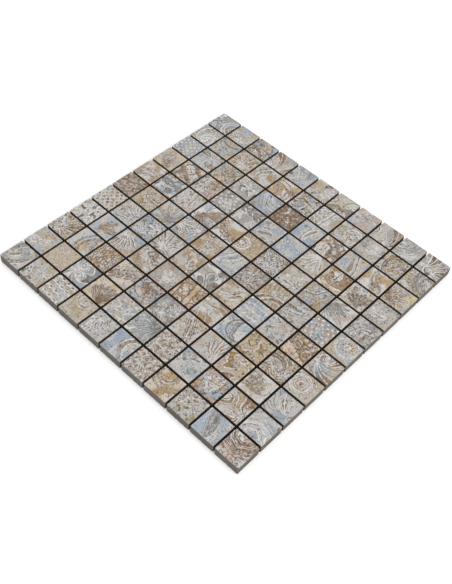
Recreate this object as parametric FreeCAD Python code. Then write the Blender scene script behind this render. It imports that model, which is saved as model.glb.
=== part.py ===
# Mosaic tile sheet: square porcelain tiles set in a regular grid with open joints, held
# together by a glass-fibre mesh bonded to their backs.
#
# Frame: millimetres, +Z up. The origin is the centre of the sheet's back, on the surface
# that the sheet lies on. X and Y run along the sheet's two pairs of edges.

import FreeCAD, Part

import os

# Tiles
tile_side = 25.2
tile_thickness = 9.5
corner_bevel = 0.8
arris_bevel = 0.4
column_count = 11
row_count = 11
joint_width = 2.0

# Keying grooves across each tile's back
groove_count = 3
groove_width = 2.2
groove_depth = 0.4

# Backing mesh
yarn_width = 0.9
yarn_thickness = 0.25
yarn_spacing = 5.0
backing_inset = 1.0

# Sizes and heights worked out from those above
tile_pitch = tile_side + joint_width
groove_pitch = tile_side / (groove_count + 1)
backing_length_x = column_count * tile_pitch - joint_width - 2 * backing_inset
backing_length_y = row_count * tile_pitch - joint_width - 2 * backing_inset
weft_bottom = 0.0
warp_bottom = weft_bottom + yarn_thickness
tile_bottom = warp_bottom + yarn_thickness
tile_top = tile_bottom + tile_thickness

same_place = 1e-6


def centred_places(count, spacing):
    """Places of count things along one axis, spacing apart and centred on zero."""
    first = -(count - 1) * spacing / 2
    return [first + index * spacing for index in range(count)]


def block(length_x, length_y, height, bottom):
    """A rectangular block centred on the Z axis, standing on the given height."""
    corner = FreeCAD.Vector(-length_x / 2, -length_y / 2, bottom)
    return Part.makeBox(length_x, length_y, height, corner)


def upright_edges(solid):
    """The edges that run from the solid's bottom to its top."""
    height = solid.BoundBox.ZLength
    return [edge for edge in solid.Edges if abs(edge.BoundBox.ZLength - height) < same_place]


def edges_at(solid, height):
    """The edges that lie wholly at one height."""
    return [edge for edge in solid.Edges if edge.BoundBox.ZMin > height - same_place]


def make_tile():
    """One tile on the Z axis, with bevelled corners, an eased top arris and a grooved back."""
    tile = block(tile_side, tile_side, tile_thickness, tile_bottom)
    tile = tile.makeChamfer(corner_bevel, upright_edges(tile))
    tile = tile.makeChamfer(arris_bevel, edges_at(tile, tile_top))
    groove = block(groove_width, tile_side, groove_depth, tile_bottom)
    for x in centred_places(groove_count, groove_pitch):
        tile = tile.cut(groove.translated(FreeCAD.Vector(x, 0, 0)))
    return tile


def make_tile_row(tile, y):
    """A row of tiles along X at one place along Y, each a joint's width from the next."""
    places = centred_places(column_count, tile_pitch)
    return Part.makeCompound([tile.translated(FreeCAD.Vector(x, y, 0)) for x in places])


def yarn_places(length):
    """Places of the yarns across one length of the backing, as many as fit inside it."""
    count = int((length - yarn_width) / yarn_spacing) + 1
    return centred_places(count, yarn_spacing)


def make_backing_warp():
    """The backing's upper layer: flat yarns along X, against the backs of the tiles."""
    yarn = block(backing_length_x, yarn_width, yarn_thickness, warp_bottom)
    places = yarn_places(backing_length_y)
    return Part.makeCompound([yarn.translated(FreeCAD.Vector(0, y, 0)) for y in places])


def make_backing_weft():
    """The backing's lower layer: flat yarns along Y, under the warp."""
    yarn = block(yarn_width, backing_length_y, yarn_thickness, weft_bottom)
    places = yarn_places(backing_length_x)
    return Part.makeCompound([yarn.translated(FreeCAD.Vector(x, 0, 0)) for x in places])


def make_sheet():
    """Every piece of the sheet, by the name of its node."""
    tile = make_tile()
    pieces = {}
    for number, y in enumerate(centred_places(row_count, tile_pitch), start=1):
        pieces[f"tile_row_{number:02d}"] = make_tile_row(tile, y)
    pieces["backing_warp"] = make_backing_warp()
    pieces["backing_weft"] = make_backing_weft()
    return pieces


os.makedirs("parts", exist_ok=True)
for name, shape in make_sheet().items():
    shape.exportStep(f"parts/{name}.step")
    print(name, len(shape.Solids), "solids", round(shape.Volume, 1), "mm3")
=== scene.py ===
import bpy
import numpy as np
from mathutils import Matrix, Vector


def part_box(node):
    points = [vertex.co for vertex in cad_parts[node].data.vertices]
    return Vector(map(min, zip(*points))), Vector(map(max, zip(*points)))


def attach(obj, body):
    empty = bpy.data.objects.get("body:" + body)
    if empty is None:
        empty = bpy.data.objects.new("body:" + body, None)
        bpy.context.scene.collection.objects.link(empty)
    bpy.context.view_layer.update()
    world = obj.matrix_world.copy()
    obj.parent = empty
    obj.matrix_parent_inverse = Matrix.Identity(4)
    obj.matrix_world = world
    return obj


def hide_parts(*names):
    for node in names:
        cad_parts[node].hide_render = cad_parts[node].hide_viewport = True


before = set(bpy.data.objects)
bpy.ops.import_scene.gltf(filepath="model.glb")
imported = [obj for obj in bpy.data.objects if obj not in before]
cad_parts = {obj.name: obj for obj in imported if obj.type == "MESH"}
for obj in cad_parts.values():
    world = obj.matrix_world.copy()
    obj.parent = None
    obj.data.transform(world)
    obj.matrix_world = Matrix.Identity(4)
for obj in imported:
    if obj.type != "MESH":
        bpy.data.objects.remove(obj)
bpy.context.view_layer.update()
print("frame loaded,", len(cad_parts), "nodes")

mm = 0.001
far = 4.0         # mm, what a field holds where nothing is near
samePlace = 1e-6  # mm
outerBand = 0.4   # mm, walls this near to the sheet's outline are its outer ones

# camera first: it looks down on the sheet as it lies
camera = {
    "lens": 51.49,                       # mm on a 36 mm sensor
    "place": (309.0, -397.6, 600.4),     # mm from the middle of the sheet's back
    "backwards": (0.3808, -0.4894, 0.7845),
    "up": (-0.5756, 0.5386, 0.6154),
}


def makeCamera():
    # the three axes of the camera, made square to each other, are the columns of its matrix
    back = Vector(camera["backwards"]).normalized()
    right = Vector(camera["up"]).cross(back).normalized()
    up = back.cross(right)
    data = bpy.data.cameras.new("camera")
    data.lens = camera["lens"]
    seen = bpy.data.objects.new("camera", data)
    turned = Matrix((right, up, back)).transposed().to_4x4()
    seen.matrix_world = Matrix.Translation(Vector(camera["place"]) * mm) @ turned
    bpy.context.scene.collection.objects.link(seen)
    bpy.context.scene.camera = seen


makeCamera()
print("camera placed")


# sizes that the frame gives
rowNodes = sorted(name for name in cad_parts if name.startswith("tile_row"))
rowBoxes = [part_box(name) for name in rowNodes]
tileSide = (rowBoxes[0][1].y - rowBoxes[0][0].y) / mm
tilePitch = (rowBoxes[1][0].y - rowBoxes[0][0].y) / mm
rowLength = (rowBoxes[0][1].x - rowBoxes[0][0].x) / mm
tileCount = round((rowLength + tilePitch - tileSide) / tilePitch)
tileTop = rowBoxes[0][1].z / mm
tileBottom = rowBoxes[0][0].z / mm


# one tile
tileSet = {
    "cells": 48,            # even cells across the printed face
    "arrisRadius": 0.45,    # mm
    "arrisSteps": 3,
    "cornerRadius": 0.6,    # mm, in plan
    "footBevel": 0.25,      # mm, round the lower edge
    "grooves": 3,
    "grooveWidth": 2.2,     # mm
    "grooveDepth": 0.4,     # mm
    "unevenness": 0.012,    # mm, of the printed face
    "sharpAngle": 0.7,      # radians, shading is smooth below it
}


def gridLine():
    # places across a tile: equal steps of the arris's quarter circle, then even cells
    radius = tileSet["arrisRadius"]
    turn = np.linspace(0, np.pi / 2, tileSet["arrisSteps"] + 1)
    edge = tileSide / 2 - radius * (1 - np.cos(turn))
    flat = np.linspace(-edge[-1], edge[-1], tileSet["cells"] + 1)
    return np.concatenate([-edge[:-1], flat, edge[-2::-1]])


def roundCorners(x, y, radius):
    # inside a corner's square, a square loop about its inner corner becomes an arc of the same reach
    inner = tileSide / 2 - radius
    dx, dy = np.abs(x) - inner, np.abs(y) - inner
    corner = (dx > 0) & (dy > 0)
    reach = np.where(corner, np.maximum(dx, dy), 1.0)
    length = np.where(corner, np.hypot(dx, dy), 1.0)
    pull = np.where(corner, reach / length, 1.0)
    roundX = np.where(corner, np.sign(x) * (inner + dx * pull), x)
    roundY = np.where(corner, np.sign(y) * (inner + dy * pull), y)
    return roundX, roundY


def softNoise(rng, x, y, size, count=6):
    # a sum of plane waves about one size long, in random directions, mostly within -1..1
    angle = rng.uniform(0, 2 * np.pi, count)
    wave = 2 * np.pi / (size * rng.uniform(0.7, 1.5, count))
    phase = rng.uniform(0, 2 * np.pi, count)
    along = x[..., None] * np.cos(angle) + y[..., None] * np.sin(angle)
    return np.sin(along * wave + phase).sum(-1) / np.sqrt(count)


line = gridLine()
points = len(line)
gridX, gridY = np.meshgrid(line, line, indexing="ij")
edgeGap = tileSide / 2 - np.maximum(np.abs(gridX), np.abs(gridY))

# the grid's points round its rim, counterclockwise from one corner
cells = points - 1
outward, backward = np.arange(cells), np.arange(cells, 0, -1)
first, last = np.zeros(cells, int), np.full(cells, cells)
rimI = np.concatenate([outward, last, backward, first])
rimJ = np.concatenate([first, outward, last, backward])
rim = rimI * points + rimJ


def tileFaces():
    # quads over the printed face, two rings of quads down the side, and strips along the grooved
    # back. Returns them, and the two many-sided faces at the ends of the back
    index = np.arange(points * points).reshape(points, points)
    top = np.stack([index[:-1, :-1], index[1:, :-1], index[1:, 1:], index[:-1, 1:]], -1).reshape(-1, 4)
    upperRing = points * points + np.arange(len(rim))
    loops = [rim, upperRing, upperRing + len(rim)]
    sides = [
        np.stack([low, np.roll(low, -1), np.roll(high, -1), high], -1)
        for high, low in zip(loops, loops[1:])
    ]
    foot = loops[-1]
    south, east = foot[:cells + 1], foot[cells:2 * cells + 1]
    north = foot[3 * cells - np.arange(cells + 1)]
    west = foot[-np.arange(cells + 1)]
    strips = np.stack([south[1:-2], north[1:-2], north[2:-1], south[2:-1]], -1)
    westEnd = np.concatenate([west, north[1:2], south[1:2]])
    eastEnd = np.concatenate([south[-2:-1], north[-2:-1], east[::-1]])
    quads = np.concatenate([top] + sides + [strips])
    return quads, [westEnd, eastEnd]


def tileShape(rng):
    # plan: the grid with its corners rounded. Height: the top, less a quarter circle's drop near the
    # edge, more or less worn along the rim, less a slight unevenness. Two rings follow, the top of
    # the foot's bevel and the back, both raised where a groove runs out
    radius = tileSet["arrisRadius"]
    x, y = roundCorners(gridX, gridY, tileSet["cornerRadius"])
    within = np.clip(1 - edgeGap / radius, 0, 1)
    worn = 1 + 0.45 * np.clip(softNoise(rng, gridX, gridY, 5.0), -0.6, 1.5)
    drop = radius * worn * (1 - np.sqrt(1 - within ** 2))
    dip = tileSet["unevenness"] * (1.5 + softNoise(rng, gridX, gridY, 7.0))
    z = tileTop - drop - np.maximum(dip, 0)
    groovePitch = tileSide / (tileSet["grooves"] + 1)
    places = (np.arange(tileSet["grooves"]) - (tileSet["grooves"] - 1) / 2) * groovePitch
    rimX, rimY = x.ravel()[rim], y.ravel()[rim]
    off = np.abs(gridX.ravel()[rim][:, None] - places).min(1)
    notch = tileSet["grooveDepth"] * (off < tileSet["grooveWidth"] / 2)
    notch = notch * (tileSide / 2 - np.abs(gridY.ravel()[rim]) < samePlace)
    bevel = tileSet["footBevel"]
    inset = 1 - 2 * bevel / tileSide
    xs = np.concatenate([x.ravel(), rimX, rimX * inset])
    ys = np.concatenate([y.ravel(), rimY, rimY * inset])
    zs = np.concatenate([z.ravel(), tileBottom + bevel + notch, tileBottom + notch])
    return np.stack([xs, ys, zs], -1)


# the print
seed = 12  # every tile's random numbers start from it and the tile's place
inks = {  # as they look, red green blue out of 255
    "white": (207, 205, 203),
    "chalk": (201, 199, 196),
    "cream": (195, 185, 171),
    "sand": (187, 171, 144),
    "straw": (191, 176, 136),
    "rose": (184, 165, 150),
    "mist": (167, 177, 187),
    "blue": (162, 174, 188),
    "aqua": (156, 176, 179),
    "slate": (132, 139, 145),
    "stone": (163, 160, 156),
    "taupe": (148, 130, 106),
    "tan": (168, 142, 107),
    "ochre": (149, 115, 72),
    "brown": (112, 86, 57),
    "grey": (112, 110, 107),
    "umber": (78, 58, 42),
}

motifRoot = 15   # mm, from a drawing's middle to the root of motifs that start beyond the tile
lineReach = 0.4  # mm, places this near to a line count as inked
evenTone = 0.36  # the mean colour that every tile's is brought nearer to

# ground, its clouds, shapes, lines, and how often they come
palettes = [
    ("chalk", "cream", "ochre", "brown", 5),
    ("chalk", "mist", "taupe", "white", 5),
    ("chalk", "stone", "grey", "grey", 5),
    ("chalk", "cream", "slate", "white", 4),
    ("chalk", "sand", "brown", "white", 4),
    ("cream", "mist", "taupe", "brown", 4),
    ("cream", "sand", "ochre", "white", 5),
    ("cream", "chalk", "grey", "brown", 4),
    ("mist", "cream", "taupe", "white", 4),
    ("mist", "chalk", "slate", "white", 4),
    ("mist", "chalk", "slate", "grey", 3),
    ("stone", "sand", "chalk", "brown", 3),
    ("stone", "cream", "brown", "white", 4),
    ("stone", "slate", "grey", "white", 3),
    ("slate", "cream", "chalk", "grey", 1),
    ("sand", "mist", "ochre", "white", 4),
    ("sand", "chalk", "brown", "white", 3),
    ("straw", "mist", "ochre", "white", 3),
    ("rose", "mist", "brown", "white", 3),
    ("rose", "chalk", "taupe", "brown", 3),
    ("taupe", "stone", "cream", "brown", 1),
    ("tan", "cream", "brown", "white", 3),
    ("tan", "chalk", "cream", "brown", 2),
    ("aqua", "chalk", "slate", "white", 2),
    ("blue", "chalk", "mist", "white", 2),
]


def linear(ink):
    # the usual screen curve, undone
    value = np.array(inks[ink]) / 255
    return np.where(value <= 0.04045, value / 12.92, ((value + 0.055) / 1.055) ** 2.4)


def steepness(level, least):
    # the slope of a field on the tile's grid, kept off zero
    alongX, alongY = np.gradient(level, line, line)
    slope = np.hypot(alongX, alongY)
    return np.maximum(slope, least * slope.mean() + 1e-9)


def asDistance(level):
    # a level divided by its slope is about the distance to where it is zero
    return level / steepness(level, 0.35)


def ripples(level, step):
    # distance to the nearest of the level's lines, one step apart, its sign changing at each
    return np.sin(level * np.pi / step) * step / np.pi / steepness(level, 0.3)


def turnabout(gap, places):
    # distance to the nearest of some places along a gap, its sign changing at each
    off = gap[..., None] - np.array(places)
    return np.abs(off).min(-1) * (1 - 2 * ((off > 0).sum(-1) % 2))


def strokes(x, y, route):
    # distance to a union of discs strung along a route of columns x, y and half width
    out = np.full(x.shape, np.inf)
    for part in np.array_split(route, max(1, len(route) // 120)):
        gap = np.hypot(x[..., None] - part[:, 0], y[..., None] - part[:, 1]) - part[:, 2]
        out = np.minimum(out, gap.min(-1))
    return out


def bentLine(cx, cy, angle, length, bend, count=30):
    # points along an arc that bends evenly, and how far along each lies
    t = np.linspace(0, 1, count)
    turned = angle + bend * t
    x = cx + length * np.cumsum(np.cos(turned)) / count
    y = cy + length * np.cumsum(np.sin(turned)) / count
    return x, y, t


def lobe(cx, cy, angle, length, width, bend=0.0):
    # a leaf: half width rises and falls as a sine
    x, y, t = bentLine(cx, cy, angle, length, bend)
    return np.stack([x, y, 0.1 + width * np.sin(np.pi * t ** 0.7) ** 1.3], -1)


def comma(cx, cy, angle, length, width, bend):
    # a stroke with a thin root and a fat round tip
    x, y, t = bentLine(cx, cy, angle, length, bend)
    return np.stack([x, y, 0.15 + width * t ** 0.8 * np.sqrt(1 - t ** 4)], -1)


def swirls(rng, x, y):
    # spirals about a few points, joined by smooth flow: a sum of each point's angle and log of its radius
    level = np.full(x.shape, rng.uniform(0, np.pi))
    for _ in range(rng.integers(2, 5)):
        cx, cy = rng.uniform(-13, 13, 2)
        twist = rng.uniform(2.0, 3.4) * rng.choice([-1, 1])
        level = level + np.arctan2(y - cy, x - cx) + twist * np.log(np.hypot(x - cx, y - cy) + 0.8)
    wave, quarter = np.sin(level), np.cos(level)
    slope = np.hypot(steepness(wave, 0), steepness(quarter, 0)) + 0.05
    return (wave - rng.uniform(-0.3, 0.5)) / slope, quarter / slope


def fan(rng, x, y):
    # commas from one point near the tile's rim, even about the middle one, which crosses the tile
    angle, length = rng.uniform(0, 2 * np.pi), rng.uniform(12, 25)
    away, apart = rng.uniform(8, 15), rng.uniform(0.25, 0.42)
    start = angle + np.pi + rng.uniform(-0.4, 0.4)
    parts = []
    for k in np.arange(-3, 4):
        size = length * (1 - 0.05 * k * k)
        root = away * np.cos(angle), away * np.sin(angle)
        parts.append(comma(*root, start + k * apart, size, 0.085 * length, 0.35 * k))
    return strokes(x, y, np.concatenate(parts))


def palmettes(rng, x, y):
    # one fan filled, another in outline
    return fan(rng, x, y), fan(rng, x, y)


def branch(rng, x, y):
    # a bent stem across the tile, with a leaf to either side at even steps
    angle, bend = rng.uniform(0, 2 * np.pi), rng.uniform(-1.2, 1.2)
    start = angle + np.pi - bend / 2 + rng.uniform(-0.4, 0.4)
    bx, by, t = bentLine(motifRoot * np.cos(angle), motifRoot * np.sin(angle), start, 36, bend, 90)
    size, width = rng.uniform(6, 9), rng.uniform(1.3, 1.9)
    parts = [np.stack([bx, by, np.full(90, 0.25)], -1)]
    for k in range(2, 80, 19):
        for side in (-1, 1):
            parts.append(lobe(bx[k], by[k], start + bend * t[k] + side * 0.8, size, width, -side * 0.5))
    return strokes(x, y, np.concatenate(parts))


def leaves(rng, x, y):
    # one branch filled, another in outline
    return branch(rng, x, y), branch(rng, x, y)


def acanthus(rng, x, y):
    # broad leaves from the tile's rim, with lobed edges: the half width of each swells by turns
    blades, veins = [], []
    for bend in rng.uniform(-1.6, 1.6, 2):
        angle = rng.uniform(0, 2 * np.pi)
        cx, cy = 13 * np.cos(angle), 13 * np.sin(angle)
        start = angle + np.pi - bend / 2 + rng.uniform(-0.4, 0.4)
        bx, by, t = bentLine(cx, cy, start, rng.uniform(18, 27), bend, 110)
        swell = 0.66 + 0.34 * np.abs(np.cos(7 * np.pi * t))
        half = rng.uniform(3.2, 5.0) * np.sin(np.pi * t ** 0.75) ** 0.8 * swell
        blades.append(np.stack([bx, by, 0.1 + half], -1))
        veins.append(np.stack([bx, by, 0.4 * (1 - t)], -1)[:96])
    shape = strokes(x, y, np.concatenate(blades))
    cut = strokes(x, y, np.concatenate(veins))
    return np.maximum(shape, -cut), turnabout(shape, [-1.5, 1.4])


def sweeps(rng, x, y):
    # broad arcs about far points to one side, so that they hardly cross, and thin ones beside the last
    shape = np.full(x.shape, far)
    turned = rng.uniform(0, 2 * np.pi)
    for _ in range(rng.integers(2, 4)):
        angle, radius = turned + rng.uniform(-0.4, 0.4), rng.uniform(10, 30)
        away = radius + rng.uniform(-9, 9)
        off = np.hypot(x - away * np.cos(angle), y - away * np.sin(angle)) - radius
        half = rng.uniform(0.5, 2.4)
        shape = np.minimum(shape, np.abs(off) - half)
    return shape, turnabout(off, [-half - 1.1, half + 1.1])


def teardrops(rng, x, y):
    # a long bent drop with a filled heart and a filled band about one side of it
    turned, away = rng.uniform(0, 2 * np.pi), rng.uniform(9, 13)
    cx, cy = away * np.cos(turned), away * np.sin(turned)
    length, width = rng.uniform(17, 27), rng.uniform(2.4, 3.8)
    angle = turned + np.pi + rng.uniform(-0.4, 0.4)
    gap = strokes(x, y, comma(cx, cy, angle, length, width, rng.uniform(-1.0, 1.0)))
    side = (x - cx) * np.sin(angle) - (y - cy) * np.cos(angle)
    shape = np.minimum(gap, np.maximum(np.abs(gap - 3.0) - 0.9, side))
    return shape, np.where(side < 2, turnabout(gap, [1.1, 5.2]), gap - 1.1)


def damask(rng, x, y):
    # a mirrored series of cosines across and along, whose zero line outlines the figure. Its middle
    # lies well off the tile's
    size = rng.uniform(17, 26)
    x, y = x + rng.uniform(3, 9), y + rng.uniform(3, 9)
    level = np.zeros(x.shape)
    for m in range(4):
        for n in range(4):
            weight = rng.normal() / (1 + 0.35 * abs(m * m + n * n - 4)) * (m + n > 0)
            level = level + weight * np.cos(2 * np.pi * m * x / size) * np.cos(2 * np.pi * n * y / size)
    gap = asDistance(level - np.median(level))
    return gap, turnabout(gap, [-1.3])


def ogees(rng, x, y):
    # two crossed cosines, outlined at even levels
    wide, tall = rng.uniform(14, 20), rng.uniform(20, 28)
    level = np.cos(2 * np.pi * x / wide) + np.cos(2 * np.pi * y / tall) * 0.9
    level = level + 0.3 * np.cos(4 * np.pi * x / wide) * np.cos(4 * np.pi * y / tall)
    return ripples(level, 0.65), ripples(level + 0.3, 1.3)


def marbled(rng, x, y):
    # contour lines of a field of soft noise that is bent by more of it
    bentX = x + 2.4 * softNoise(rng, x, y, 12.0)
    bentY = y + 2.4 * softNoise(rng, x, y, 12.0)
    level = softNoise(rng, bentX, bentY, 15.0)
    return ripples(level, 0.6), ripples(level + 0.3, 0.6)


def rings(rng, x, y):
    # circles about a point near an edge, their spacing growing outwards
    cx, cy = rng.uniform(-11, 11, 2)
    away = np.hypot(x - cx, y - cy) + 0.3 * softNoise(rng, x, y, 9.0)
    radius = rng.uniform(6, 11)
    shape = np.minimum(np.abs(away - radius) - 0.8, away - 0.3 * radius)
    return shape, turnabout(away - radius, [-0.4 * radius, -1.7, 1.7, 5.0])


def medallion(rng, x, y):
    # rings about one point, with petals between two of them by the cosine of the angle
    cx, cy = rng.uniform(-8, 8, 2)
    size, petals = rng.uniform(0.9, 1.4), rng.integers(6, 11)
    away = np.hypot(x - cx, y - cy) / size
    angle = np.arctan2(y - cy, x - cx)
    wave = np.abs(np.cos(petals * angle / 2))
    petal = np.maximum(away - 3.2 - 3.4 * wave, 3.0 - away)
    scallop = np.abs(away - 9.4 - 1.1 * np.abs(np.cos(petals * angle))) - 0.45
    shape = np.minimum.reduce([petal, away - 1.2, scallop]) * size
    return shape, turnabout(away, [2.1, 7.6, 11.8]) * size


def octagons(rng, x, y):
    # reach towards eight sides about a point outside the tile: bands and lines at set distances
    angle = rng.uniform(0, 2 * np.pi)
    cx, cy = motifRoot * np.cos(angle), motifRoot * np.sin(angle)
    sides = np.arange(8) * np.pi / 4 + angle + np.pi / 8
    reach = ((x - cx)[..., None] * np.cos(sides) + (y - cy)[..., None] * np.sin(sides)).max(-1)
    reach = reach - rng.uniform(9, 14)
    shape = np.minimum(np.abs(reach - 2.2) - 0.95, np.abs(reach + 3.6) - 0.5)
    return shape, turnabout(reach, [-5.6, -1.6, 0.2, 4.4, 5.6, 8.4])


def bands(rng, x, y):
    # straight bars across the tile, and a lattice of diamonds beside them
    across = y + rng.uniform(-4, 6)
    size = rng.uniform(5.0, 7.0)
    diamond = np.abs((x / size) % 1 - 0.5) + np.abs(((across - 5.4) / size) % 1 - 0.5)
    filled = np.where(across > 5.4, (diamond - 0.28) * size * 0.7, far)
    shape = np.minimum.reduce([np.abs(across) - 0.9, np.abs(np.abs(across) - 3.4) - 0.5, filled])
    lattice = np.where(across > 5.4, (diamond - 0.5) * size * 0.7, far)
    lines = turnabout(across, [-5.2, -1.9, 1.9, 5.2])
    return shape, np.where(np.abs(lattice) < np.abs(lines), lattice, lines)


def rosettes(rng, x, y):
    # petals about the points of a square lattice: radius against a cosine of the angle
    size, petals = rng.uniform(11, 17), rng.integers(5, 9)
    cellX = (x / size + 0.5) % 1 - 0.5
    cellY = (y / size + 0.5) % 1 - 0.5
    away, angle = np.hypot(cellX, cellY) * size, np.arctan2(cellY, cellX)
    petal = away - size * (0.27 + 0.1 * np.cos(petals * angle))
    corner = np.hypot(np.abs(cellX) - 0.5, np.abs(cellY) - 0.5) * size
    shape = np.minimum(np.maximum(petal, 0.12 * size - away), corner - 0.13 * size)
    return shape, np.minimum(petal - 1.0, corner - 0.22 * size)


def ringlets(rng, x, y):
    # many small circles, each a little off its place in a lattice, over a soft marbling
    size = rng.uniform(5.0, 7.5)
    column, row = np.floor(x / size), np.floor(y / size)
    offX = 0.15 * np.sin(column * 12.9 + row * 78.2)
    offY = 0.15 * np.sin(column * 39.3 + row * 11.1)
    away = np.hypot(x / size - column - 0.5 - offX, y / size - row - 0.5 - offY) * size
    radius = size * (0.24 + 0.07 * np.sin(column * 7.7 + row * 5.1))
    return np.maximum(away - 0.5 * radius, -marbled(rng, x, y)[0]), away - radius


def plumes(rng, x, y):
    # long commas from one far point, each bent a little more than the one before
    angle, bend = rng.uniform(0, 2 * np.pi), rng.uniform(-1.4, 1.4)
    cx, cy = motifRoot * np.cos(angle), motifRoot * np.sin(angle)
    turns = angle + np.pi + np.arange(-3, 4) * rng.uniform(0.14, 0.24)
    size = rng.uniform(18, 30)
    parts = [comma(cx, cy, turned, size, 0.055 * size, bend + turned - turns[3]) for turned in turns]
    shape = strokes(x, y, np.concatenate(parts))
    return shape, turnabout(shape, [1.2])


def plain(rng, x, y):
    # nothing but a few stray contour lines
    return np.full(x.shape, far), ripples(softNoise(rng, x, y, 16.0), 1.1)


motifs = [  # and how often they come
    (swirls, 25), (palmettes, 11), (plumes, 9), (leaves, 9), (acanthus, 12), (sweeps, 8), (teardrops, 3),
    (damask, 11), (ogees, 2), (marbled, 3), (rings, 2), (medallion, 3), (octagons, 8), (bands, 4),
    (rosettes, 4), (ringlets, 3), (plain, 6),
]


def pick(rng, choices):
    weights = np.array([choice[-1] for choice in choices], float)
    return choices[rng.choice(len(choices), p=weights / weights.sum())]


def draw(rng, x, y, scale, shift):
    # a motif taken at random, drawn smaller by the scale. Shapes that would fill most of the tile
    # change places with their ground, and then shrink until they cover two fifths of it at most
    shape, ink = pick(rng, motifs)[0](rng, x * scale + shift, y * scale)
    if (shape < 0).mean() > 0.5:
        shape = -shape
    shape = shape - min(np.quantile(shape, 0.4), 0)
    return shape / scale, ink / scale


def relief(gap, rng):
    # the slope of a shape's distance towards one side, near its rim: one flank is lit, one shaded
    angle = rng.uniform(0, 2 * np.pi)
    alongX, alongY = np.gradient(gap, line, line)
    slope = np.clip(alongX * np.cos(angle) + alongY * np.sin(angle), -1, 1)
    return slope * np.exp(-(gap / 0.7) ** 2) * rng.uniform(0.2, 1.0)


def cutPrint(rng):
    # one tile's window on the patchwork: a turned and wavering place, a large motif and a small one
    angle, waver = rng.uniform(0, 2 * np.pi), rng.uniform(0.05, 0.4)
    x = gridX * np.cos(angle) - gridY * np.sin(angle) + waver * softNoise(rng, gridX, gridY, 8.0)
    y = gridX * np.sin(angle) + gridY * np.cos(angle) + waver * softNoise(rng, gridX, gridY, 8.0)
    ground, cloud, shape, ink = (linear(name) for name in pick(rng, palettes)[:4])
    other = [linear(name) for name in pick(rng, palettes)[:4]]
    if rng.random() < 0.6:  # the clouds are then another palette's ground
        cloud = other[0]
    large = draw(rng, x, y, rng.uniform(0.8, 1.4), 0)
    small = draw(rng, x, y, 2.0, 20)
    clouds = np.clip(0.4 + 1.5 * softNoise(rng, x, y, 17.0), 0, 1)[..., None]
    tints = np.clip(0.3 + 1.4 * softNoise(rng, x, y, 15.0), 0, 1)[..., None]
    ground = ground * (1 - clouds) + cloud * clouds
    shape = shape * (1 - tints) + other[2] * tints
    # tiles that come out dark or light as a whole are brought nearer to the rest
    inked = np.minimum(np.abs(large[0]), np.abs(large[1]))[..., None] < lineReach
    whole = np.where(inked, ink, np.where(large[0][..., None] < 0, shape, ground)).mean()
    gain = np.clip((evenTone / whole) ** 0.55, 0.8, 1.3)
    # dark lines are edged with chalk, pale ones with a darker shade of the shapes
    pale = ink[0] > 0.5
    edging = 0.5 * (shape + linear("umber")) if pale else np.broadcast_to(linear("chalk"), shape.shape)
    look = {
        "shapeGap": large[0],
        "lineGap": large[1],
        "fineGap": small[1],
        "relief": relief(large[0], rng),
        "ground": ground * gain,
        "shape": shape * gain,
        "line": np.broadcast_to(ink, shape.shape),
        "border": edging,
    }
    shift = rng.uniform(-400, 400, 3)
    look["print"] = np.stack([x + shift[0], y + shift[1], np.full(x.shape, shift[2])], -1)
    # chalky wear, speckle and fading of this tile
    mood = rng.uniform(0, 1, 3) ** [1, 2, 1]
    look["mood"] = np.broadcast_to(mood, x.shape + (3,))
    return look


def spread(values):
    # the printed face's values, then those of its rim again for both rings below it
    flat = values.reshape(points * points, -1)
    return np.concatenate([flat, flat[rim], flat[rim]])


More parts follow.
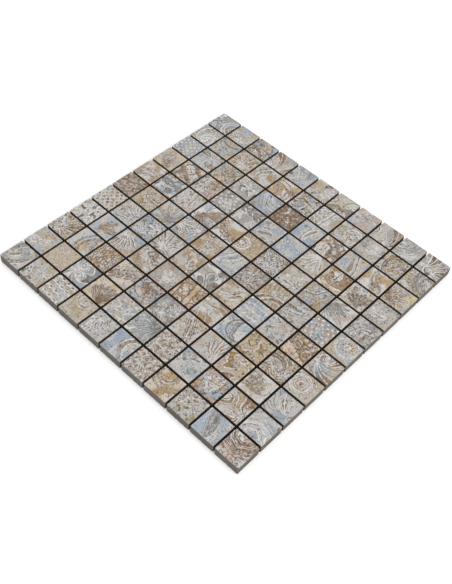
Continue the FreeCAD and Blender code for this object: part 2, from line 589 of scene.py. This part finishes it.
def makeTileRow(number, node, materials):
    # a row of tiles as one mesh. Each tile has its own random numbers, and the fields of its print
    # are attributes of its points
    quads, ends = tileFaces()
    topCount, wallCount = cells * cells, 2 * len(rim)
    low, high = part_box(node)
    middleY = (low.y + high.y) / 2 / mm
    places, faces, fields, joints = [], [], [], []
    for k in range(tileCount):
        rng = np.random.default_rng([seed, number, k])
        shape = tileShape(rng)
        shape[:, 0] += (k - (tileCount - 1) / 2) * tilePitch
        shape[:, 1] += middleY
        depth = -(tileTop - tileSet["arrisRadius"] - shape[:, 2])
        look = {key: spread(value) for key, value in cutPrint(rng).items()}
        inner = np.clip(edgeGap, 0, None).ravel()
        look["edge"] = np.concatenate([inner, depth[points * points:]])[:, None]
        start = k * len(shape)
        places.append(shape)
        fields.append(look)
        faces += (quads + start).tolist() + [(end + start).tolist() for end in ends]
        # walls and rims that face a joint, not the sheet's outer edge nor its back; painted shade darkens
        # them
        reach = np.abs(shape[quads[:topCount + wallCount], :2].mean(1)).max(1)
        facing = reach < rowLength / 2 - outerBand
        joints.append(np.append(facing, np.zeros(len(quads) + len(ends) - len(reach))))
    name = f"printedTileRow{number:02d}"
    mesh = bpy.data.meshes.new(name)
    mesh.from_pydata((np.concatenate(places) * mm).tolist(), [], faces)
    mesh.update()
    for key in fields[0]:
        values = np.concatenate([field[key] for field in fields])
        if values.shape[1] == 1:
            layer = mesh.attributes.new(key, "FLOAT", "POINT")
            layer.data.foreach_set("value", values.astype(np.float32).ravel())
        elif key in ("ground", "shape", "line", "border"):
            values = np.concatenate([values, np.ones((len(values), 1))], 1)
            layer = mesh.attributes.new(key, "FLOAT_COLOR", "POINT")
            layer.data.foreach_set("color", values.astype(np.float32).ravel())
        else:
            layer = mesh.attributes.new(key, "FLOAT_VECTOR", "POINT")
            layer.data.foreach_set("vector", values.astype(np.float32).ravel())
    layer = mesh.attributes.new("joint", "FLOAT", "FACE")
    layer.data.foreach_set("value", np.concatenate(joints).astype(np.float32))
    mesh.polygons.foreach_set("use_smooth", np.ones(len(faces), bool))
    mesh.set_sharp_from_angle(angle=tileSet["sharpAngle"])
    for material in materials:
        mesh.materials.append(material)
    onBody = np.arange(len(faces)) % (len(faces) // tileCount) >= topCount
    mesh.polygons.foreach_set("material_index", onBody.astype(np.int32))
    row = bpy.data.objects.new(name, mesh)
    bpy.context.scene.collection.objects.link(row)
    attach(row, "root")
    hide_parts(node)
    return row


# small helpers for node trees
def add(tree, kind, **settings):
    made = tree.nodes.new(kind)
    for key, value in settings.items():
        setattr(made, key, value)
    return made


def feed(tree, target, value):
    if isinstance(value, bpy.types.NodeSocket):
        tree.links.new(value, target)
    elif value is not None:
        target.default_value = value


def read(tree, name, output="Fac"):
    return add(tree, "ShaderNodeAttribute", attribute_name=name).outputs[output]


def noise(tree, place, scale, detail=2.0, roughness=0.5, distortion=0.0):
    made = add(tree, "ShaderNodeTexNoise")
    feed(tree, made.inputs["Vector"], place)
    made.inputs["Scale"].default_value = scale
    made.inputs["Detail"].default_value = detail
    made.inputs["Roughness"].default_value = roughness
    made.inputs["Distortion"].default_value = distortion
    return made.outputs["Fac"]


def ramp(tree, value, low, high, toLow=0.0, toHigh=1.0):
    made = add(tree, "ShaderNodeMapRange", interpolation_type="SMOOTHSTEP")
    given = {"Value": value, "From Min": low, "From Max": high, "To Min": toLow, "To Max": toHigh}
    for key, setting in given.items():
        feed(tree, made.inputs[key], setting)
    return made.outputs["Result"]


def maths(tree, operation, *values):
    made = add(tree, "ShaderNodeMath", operation=operation)
    for socket, value in zip(made.inputs, values):
        feed(tree, socket, value)
    return made.outputs[0]


def mix(tree, factor, a, b, blend="MIX"):
    # sockets 0, 6 and 7 are a colour mix's factor, A and B, and output 2 is its result
    made = add(tree, "ShaderNodeMix", data_type="RGBA", blend_type=blend)
    feed(tree, made.inputs[0], factor)
    feed(tree, made.inputs[6], a)
    feed(tree, made.inputs[7], b)
    return made.outputs[2]


def colour(name):
    return (*linear(name), 1.0)


def startMaterial(name):
    made = bpy.data.materials.new(name)
    made.use_nodes = True
    tree = made.node_tree
    return made, tree, tree.nodes["Principled BSDF"]


def printColour(tree):
    # returns the colour of the printed face and the mask of its pits
    place = read(tree, "print", "Vector")
    mood = add(tree, "ShaderNodeSeparateXYZ")
    feed(tree, mood.inputs[0], read(tree, "mood", "Vector"))
    chalky, specked, faded = mood.outputs
    ink = read(tree, "line", "Color")
    mottle = noise(tree, place, 0.7, 5.0, 0.6)
    grain = noise(tree, place, 2.6, 3.0, 0.6)
    wear = noise(tree, place, 0.42, 6.0, 0.7)

    # shapes: their edges are ragged, and they wear through in places
    wobble = maths(tree, "MULTIPLY_ADD", noise(tree, place, 1.1, 5.0, 0.6), 1.1, -0.55)
    shapeGap = maths(tree, "ADD", read(tree, "shapeGap"), wobble)
    kept = ramp(tree, maths(tree, "MULTIPLY_ADD", faded, -0.08, wear), 0.36, 0.44, 0.3, 1.0)
    ground = read(tree, "ground", "Color")
    shapeMask = maths(tree, "MULTIPLY", ramp(tree, shapeGap, 0.12, -0.12), kept)
    painted = mix(tree, shapeMask, ground, read(tree, "shape", "Color"))

    # the small motif shows faintly
    fineEdge = maths(tree, "ABSOLUTE", maths(tree, "MULTIPLY_ADD", wobble, 0.2, read(tree, "fineGap")))
    fineKept = ramp(tree, maths(tree, "MULTIPLY_ADD", chalky, -0.15, wear), 0.32, 0.5, 0.1, 0.7)
    fineMask = maths(tree, "MULTIPLY", ramp(tree, fineEdge, 0.3, 0.1), fineKept)
    painted = mix(tree, fineMask, painted, colour("brown"))

    # lines where a gap is zero, thicker round the shapes; they have soft borders and break here and there
    outline = maths(tree, "ABSOLUTE", shapeGap)
    thin = maths(tree, "ABSOLUTE", maths(tree, "MULTIPLY_ADD", wobble, 0.3, read(tree, "lineGap")))
    lineEdge = maths(tree, "MINIMUM", outline, maths(tree, "ADD", thin, 0.08))
    drawn = maths(tree, "MULTIPLY_ADD", faded, -0.16, noise(tree, place, 0.4, 4.0, 0.6))
    drawn = ramp(tree, drawn, 0.28, 0.44, 0.25, 1.0)
    borderMask = maths(tree, "MULTIPLY", ramp(tree, lineEdge, 1.1, 0.7, 0.0, 0.45), drawn)
    painted = mix(tree, borderMask, painted, read(tree, "border", "Color"))
    painted = mix(tree, maths(tree, "MULTIPLY", ramp(tree, lineEdge, 0.55, 0.31), drawn), painted, ink)

    # chalky wear over all of it, then mottling and grain
    patch = maths(tree, "MULTIPLY_ADD", chalky, 0.1, noise(tree, place, 0.33, 7.0, 0.7, 0.3))
    painted = mix(tree, ramp(tree, patch, 0.55, 0.7, 0.0, 0.5), painted, colour("chalk"))
    mottled = ramp(tree, mottle, 0.3, 0.7, 0.84, 1.16)
    shade = maths(tree, "ADD", mottled, ramp(tree, grain, 0.3, 0.7, -0.1, 0.08))
    shade = maths(tree, "MULTIPLY_ADD", read(tree, "relief"), 0.34, shade)
    shades = add(tree, "ShaderNodeCombineColor")
    for socket in shades.inputs[:3]:
        feed(tree, socket, shade)
    painted = mix(tree, 1.0, painted, shades.outputs[0], "MULTIPLY")

    # ochre stains soak in from some sides of a slow noise, darker towards their hearts
    soaked = noise(tree, place, 0.11, 3.0, 0.55)
    stain = mix(tree, ramp(tree, soaked, 0.6, 0.72), (0.96, 0.9, 0.79, 1), (0.74, 0.62, 0.48, 1))
    share = ramp(tree, specked, 0.0, 0.7, 0.27, 1.0)
    amount = maths(tree, "MULTIPLY", ramp(tree, soaked, 0.54, 0.64), share)
    painted = mix(tree, amount, painted, stain, "MULTIPLY")

    # blotches of the darkest ink, ragged, a few together
    blotch = maths(tree, "MULTIPLY_ADD", specked, 0.05, noise(tree, place, 0.36, 7.0, 0.72))
    painted = mix(tree, ramp(tree, blotch, 0.585, 0.625, 0.0, 0.85), painted, colour("umber"))

    # fine dark specks, in the troughs of a small noise
    speck = ramp(tree, noise(tree, place, 1.1, 2.0, 0.7), 0.41, 0.34, 0.0, 0.9)
    speckMask = maths(tree, "MULTIPLY", speck, ramp(tree, wear, 0.5, 0.6))
    painted = mix(tree, speckMask, painted, colour("umber"))

    # pits: the hearts of some cells, where a slow noise is high
    cell = add(tree, "ShaderNodeTexVoronoi")
    feed(tree, cell.inputs["Vector"], place)
    cell.inputs["Scale"].default_value = 0.7
    crowd = maths(tree, "MULTIPLY_ADD", specked, 0.25, noise(tree, place, 0.28, 2.0))
    size = maths(tree, "MULTIPLY", ramp(tree, crowd, 0.48, 0.76, 0.0, 0.75), cell.outputs["Color"])
    pit = maths(tree, "SUBTRACT", size, maths(tree, "MULTIPLY_ADD", grain, 0.4, cell.outputs["Distance"]))
    pitMask = ramp(tree, pit, -0.14, -0.04)
    painted = mix(tree, maths(tree, "MULTIPLY", pitMask, 0.8), painted, colour("umber"))
    return painted, pitMask


def bodyColour(tree, place):
    # the fired body: grey brown, clouded, with fine grain. Painted shade darkens the walls and rims
    # that face the joints. Returns the grain too
    cloud = noise(tree, place, 90.0, 4.0, 0.6)
    grain = noise(tree, place, 1400.0, 3.0, 0.6)
    body = mix(tree, ramp(tree, cloud, 0.3, 0.7), (0.13, 0.115, 0.102, 1), (0.175, 0.156, 0.14, 1))
    body = mix(tree, ramp(tree, grain, 0.35, 0.75, 0.0, 0.35), body, (0.27, 0.245, 0.22, 1))
    # painted shade: walls and rims that face a joint go nearly black brown, a little less where the body
    # is lighter
    jointShade = maths(tree, "MULTIPLY", read(tree, "joint"), ramp(tree, cloud, 0.3, 0.7, 0.95, 0.8))
    return mix(tree, jointShade, body, (0.052, 0.03, 0.015, 1)), grain


def addBump(tree, surface, height, strength, distance):
    bump = add(tree, "ShaderNodeBump")
    bump.inputs["Strength"].default_value = strength
    bump.inputs["Distance"].default_value = distance * mm
    feed(tree, bump.inputs["Height"], height)
    feed(tree, surface.inputs["Normal"], bump.outputs["Normal"])


def bodyMaterial():
    made, tree, surface = startMaterial("firedPorcelain")
    place = add(tree, "ShaderNodeTexCoord").outputs["Object"]
    body, grain = bodyColour(tree, place)
    feed(tree, surface.inputs["Base Color"], body)
    feed(tree, surface.inputs["Roughness"], ramp(tree, grain, 0.3, 0.7, 0.8, 0.9))
    surface.inputs["Specular IOR Level"].default_value = 0.15
    height = maths(tree, "MULTIPLY_ADD", grain, 0.5, noise(tree, place, 420.0, 4.0, 0.6))
    addBump(tree, surface, height, 0.5, 0.06)
    return made


def faceMaterial():
    made, tree, surface = startMaterial("printedPorcelain")
    painted, pitMask = printColour(tree)
    place = add(tree, "ShaderNodeTexCoord").outputs["Object"]
    edge = read(tree, "edge")
    body, bodyGrain = bodyColour(tree, place)

    # arris: a painted highlight, a pale cream line along it where it would catch the light
    ragged = maths(tree, "MULTIPLY", noise(tree, place, 700.0, 4.0, 0.7), 0.5)
    worn = maths(tree, "ADD", edge, ragged)
    # painted highlight: up to a fifth cream near the arris, along a ragged edge
    highlightedPrint = mix(tree, ramp(tree, worn, 0.6, 0.35, 0.0, 0.2), painted, colour("cream"))
    onFace = ramp(tree, worn, 0.26, 0.42)
    feed(tree, surface.inputs["Base Color"], mix(tree, onFace, body, highlightedPrint))

    gloss = ramp(tree, noise(tree, place, 260.0, 4.0, 0.6), 0.3, 0.7, 0.4, 0.58)
    # sockets 0, 2 and 3 are a number mix's factor, A and B
    roughness = add(tree, "ShaderNodeMix", data_type="FLOAT")
    feed(tree, roughness.inputs[0], onFace)
    feed(tree, roughness.inputs[2], 0.85)
    feed(tree, roughness.inputs[3], gloss)
    feed(tree, surface.inputs["Roughness"], roughness.outputs[0])

    # relief: grain everywhere, pits sunk in the face
    height = maths(tree, "MULTIPLY_ADD", bodyGrain, 0.5, noise(tree, place, 420.0, 4.0, 0.6))
    sunk = maths(tree, "MULTIPLY", pitMask, maths(tree, "MULTIPLY", onFace, 1.2))
    height = maths(tree, "SUBTRACT", height, sunk)
    addBump(tree, surface, height, 0.5, 0.06)
    return made


porcelain = [faceMaterial(), bodyMaterial()]
for number, node in enumerate(rowNodes, start=1):
    row = makeTileRow(number, node, porcelain)
print("tiles made,", len(rowNodes), "rows of", tileCount, "and", len(row.data.polygons), "faces a row")


# the backing
backing = {
    "spacing": 5.0,     # mm between yarns
    "width": 0.9,       # mm
    "thick": 0.22,      # mm
    "sides": 6,         # of a yarn's section
}


def yarnMaterial():
    made, tree, surface = startMaterial("coatedGlassYarn")
    place = add(tree, "ShaderNodeTexCoord").outputs["Object"]
    fibre = noise(tree, place, 2500.0, 3.0, 0.6)
    soiling = noise(tree, place, 60.0, 3.0, 0.5)
    shade = mix(tree, ramp(tree, fibre, 0.3, 0.7), (0.52, 0.5, 0.45, 1), (0.74, 0.73, 0.69, 1))
    shade = mix(tree, ramp(tree, soiling, 0.5, 0.8, 0.0, 0.5), shade, (0.4, 0.36, 0.3, 1))
    feed(tree, surface.inputs["Base Color"], shade)
    feed(tree, surface.inputs["Roughness"], ramp(tree, fibre, 0.3, 0.7, 0.55, 0.8))
    addBump(tree, surface, fibre, 0.6, 0.05)
    return made


def makeYarns(name, node, along, material):
    # an oval section carried along each yarn, which rises and falls by turns at the crossings. The
    # sheet is square, so the other layer's yarns cross at this one's own offsets
    low, high = (np.array(corner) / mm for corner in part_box(node))
    across = 1 - along
    both = [np.array(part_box(other)) / mm for other in ("backing_warp", "backing_weft")]
    bottom, top = min(b[0][2] for b in both), max(b[1][2] for b in both)
    half = backing["thick"] / 2
    count = round((high[across] - low[across] - backing["width"]) / backing["spacing"]) + 1
    offsets = (np.arange(count) - (count - 1) / 2) * backing["spacing"]
    stations = np.concatenate([[low[along]], offsets, [high[along]]])
    turn = np.arange(backing["sides"]) * 2 * np.pi / backing["sides"]
    middle = (bottom + top) / 2
    sway = (top - bottom) / 2 - half
    order = np.arange(len(stations))[None, :] + np.arange(count)[:, None] + along
    up = np.where(order % 2 == 0, 1.0, -1.0)
    shape = np.zeros((count, len(stations), len(turn), 3))
    shape[..., along] = stations[None, :, None]
    shape[..., across] = offsets[:, None, None] + backing["width"] / 2 * np.cos(turn)
    shape[..., 2] = (middle + sway * up)[..., None] + half * np.sin(turn)
    index = np.arange(shape[..., 0].size).reshape(shape.shape[:3])
    beside = np.roll(index, -1, 2)
    quads = np.stack([index[:, :-1], index[:, 1:], beside[:, 1:], beside[:, :-1]], -1).reshape(-1, 4)
    caps = np.concatenate([index[:, 0], index[:, -1, ::-1]])
    if along == 0:
        quads, caps = quads[:, ::-1], caps[:, ::-1]
    mesh = bpy.data.meshes.new(name)
    mesh.from_pydata((shape.reshape(-1, 3) * mm).tolist(), [], quads.tolist() + caps.tolist())
    mesh.update()
    mesh.polygons.foreach_set("use_smooth", np.ones(len(mesh.polygons), bool))
    mesh.materials.append(material)
    yarns = bpy.data.objects.new(name, mesh)
    bpy.context.scene.collection.objects.link(yarns)
    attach(yarns, "root")
    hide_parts(node)


yarn = yarnMaterial()
makeYarns("warpYarns", "backing_warp", 0, yarn)
makeYarns("weftYarns", "backing_weft", 1, yarn)
print("backing woven")


# floor and light
studio = {
    "floorSize": 8.0,     # m
    "worldLight": 0.72,
    "keyPower": 105.0,    # W
    "keySize": 3.2,       # m
    "keyPlace": (3.0, -0.5, 4.0),
    "floorSeen": 1.18,    # the floor's colour to the camera, which makes it white
    "floorColour": 0.8,   # and to the light that it sends back
}


def makeFloor():
    # white to the camera, and grey to the light that it sends back
    half = studio["floorSize"] / 2
    mesh = bpy.data.meshes.new("floor")
    corners = [(-half, -half, 0), (half, -half, 0), (half, half, 0), (-half, half, 0)]
    mesh.from_pydata(corners, [], [(0, 1, 2, 3)])
    floor = bpy.data.objects.new("floor", mesh)
    bpy.context.scene.collection.objects.link(floor)
    made, tree, surface = startMaterial("paleFloor")
    seen = add(tree, "ShaderNodeLightPath").outputs["Is Camera Ray"]
    greys = [(*[studio[key]] * 3, 1) for key in ("floorColour", "floorSeen")]
    feed(tree, surface.inputs["Base Color"], mix(tree, seen, *greys))
    feed(tree, surface.inputs["Roughness"], 1.0)
    feed(tree, surface.inputs["Specular IOR Level"], 0.0)
    mesh.materials.append(made)


def makeLight():
    # an even white world, seen brighter than it lights, and one broad lamp turned to the middle
    world = bpy.data.worlds.new("studio")
    bpy.context.scene.world = world
    world.use_nodes = True
    tree = world.node_tree
    background = tree.nodes["Background"]
    background.inputs["Color"].default_value = (1, 1, 1, 1)
    path = add(tree, "ShaderNodeLightPath")
    seen = maths(tree, "MAXIMUM", path.outputs["Is Camera Ray"], path.outputs["Is Glossy Ray"])
    feed(tree, background.inputs["Strength"], ramp(tree, seen, 0.0, 1.0, studio["worldLight"], 1.0))
    data = bpy.data.lights.new("key", "AREA")
    data.energy = studio["keyPower"]
    data.size = studio["keySize"]
    key = bpy.data.objects.new("key", data)
    key.location = studio["keyPlace"]
    key.rotation_euler = (-Vector(studio["keyPlace"])).to_track_quat("-Z", "Y").to_euler()
    bpy.context.scene.collection.objects.link(key)


makeFloor()
makeLight()
bpy.context.scene.view_settings.view_transform = "Standard"
print("floor and light set")
